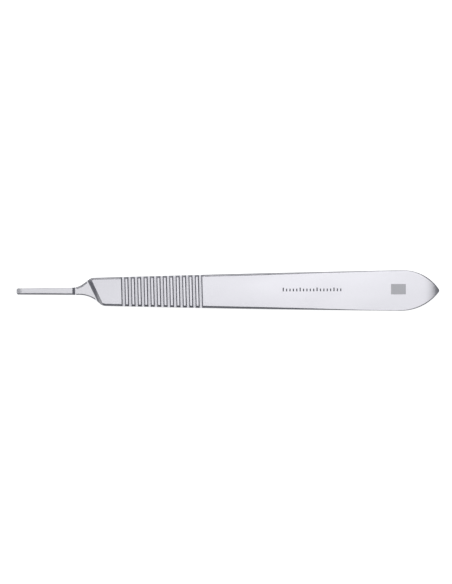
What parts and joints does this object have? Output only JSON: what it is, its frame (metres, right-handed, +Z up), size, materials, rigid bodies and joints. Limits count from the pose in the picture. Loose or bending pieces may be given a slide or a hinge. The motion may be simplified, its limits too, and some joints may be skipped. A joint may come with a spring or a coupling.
{
  "type": "scalpel handle",
  "caption": "Flat surgical scalpel handle of stainless steel with a slotted blade fitting, a slanted shoulder, a grooved grip and a pointed tail.",
  "frame": {"origin": "middle of the length and width, on the lower broad face that the handle lies on", "axes": "+X along the handle from the blade fitting to the pointed tail, +Y across it towards the side that the tongue is set off to, +Z up out of the broad face that carries the blade"},
  "size_m": [0.125, 0.012, 0.0031],
  "materials": {
    "steel": "satin polished stainless steel"
  },
  "bodies": {
    "root": {"handle": "steel"}
  },
  "joints": []
}
